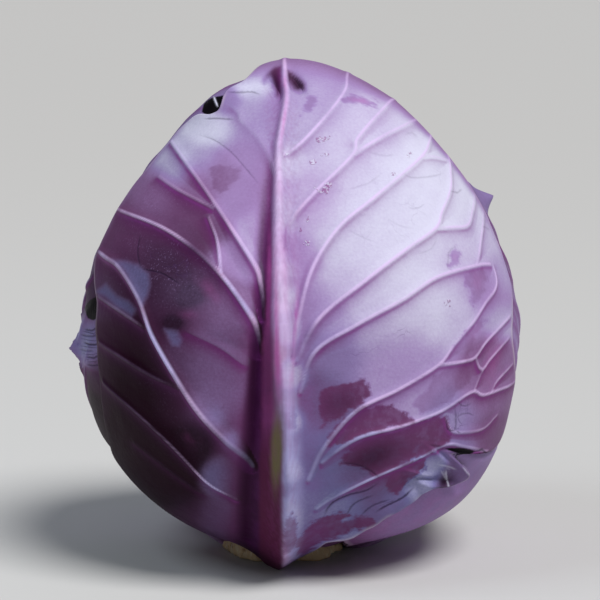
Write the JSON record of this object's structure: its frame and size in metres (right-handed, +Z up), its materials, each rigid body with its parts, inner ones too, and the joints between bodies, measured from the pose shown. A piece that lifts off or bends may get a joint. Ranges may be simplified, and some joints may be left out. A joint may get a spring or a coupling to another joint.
{
  "type": "red cabbage head",
  "caption": "Egg-shaped red cabbage head of overlapping wrapper leaves with thick midribs, trimmed level to stand on its cut stem.",
  "frame": {"origin": "the middle of the stem's cut face, where the head stands", "axes": "+Z up along the head's height, -Y towards the side that the outermost leaf covers, +X to the right of someone who looks at that leaf"},
  "size_m": [0.1551, 0.1476, 0.1717],
  "materials": {
    "cut_stem": "cut plant stem, pale and fibrous, browned at its rim, matt",
    "heart": "packed purple leaves, waxy, satin",
    "front_leaf": "purple leaf under a pale blue bloom of wax, rubbed dark plum in patches, satin",
    "right_leaf": "violet leaf with a thin bloom of wax, satin",
    "left_leaf": "blue-violet leaf with a pleated edge, satin",
    "back_leaf": "purple leaf under a pale bloom of wax, satin",
    "inner_leaf": "smooth purple leaf with a thin bloom of wax, satin"
  },
  "bodies": {
    "root": {"cut_stem": "cut_stem", "heart": "heart", "front_leaf": "front_leaf", "right_leaf": "right_leaf", "left_leaf": "left_leaf", "back_leaf": "back_leaf", "right_front_leaf": "inner_leaf", "left_front_leaf": "inner_leaf", "left_back_leaf": "inner_leaf"}
  },
  "joints": []
}
